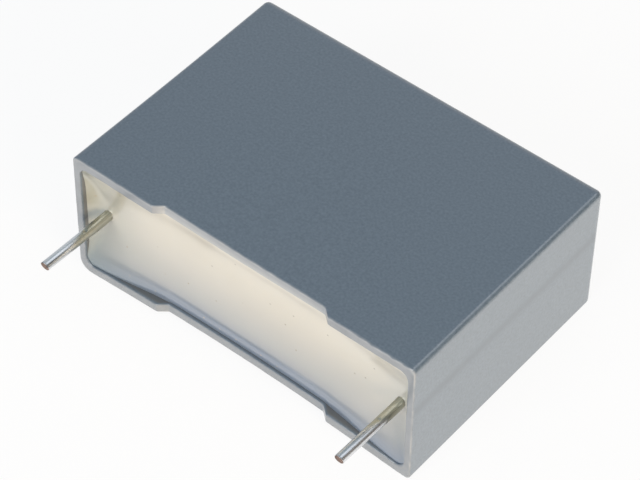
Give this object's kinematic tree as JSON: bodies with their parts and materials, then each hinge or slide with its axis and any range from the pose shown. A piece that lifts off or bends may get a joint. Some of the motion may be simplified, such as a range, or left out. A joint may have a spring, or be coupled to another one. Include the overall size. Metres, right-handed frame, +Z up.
{
  "type": "box film capacitor",
  "caption": "Radial film capacitor: a moulded plastic box closed with casting resin, with two straight wire leads on one side.",
  "frame": {"origin": "midway between the two leads, level with the faces of the feet, at mid-thickness", "axes": "-Y the way the leads point, +X along the line through the leads, +Z up through the thickness, with the capacitor lying on its broad side"},
  "size_m": [0.0316, 0.0275, 0.012],
  "materials": {
    "case_plastic": "fine satin moulded surface",
    "casting_resin": "glossy, smooth as it set",
    "metallised_film": "glossy wound film",
    "plain_film": "clear film, slightly yellow",
    "sprayed_zinc": "rough sprayed metal",
    "tinned_wire": "bright tinned, with fine drawing lines"
  },
  "bodies": {
    "root": {"case": "case_plastic", "potting_resin": "casting_resin", "film_winding": "metallised_film", "cover_film": "plain_film", "end_spray_left": "sprayed_zinc", "end_spray_right": "sprayed_zinc", "lead_left": "tinned_wire", "lead_right": "tinned_wire"}
  },
  "joints": []
}
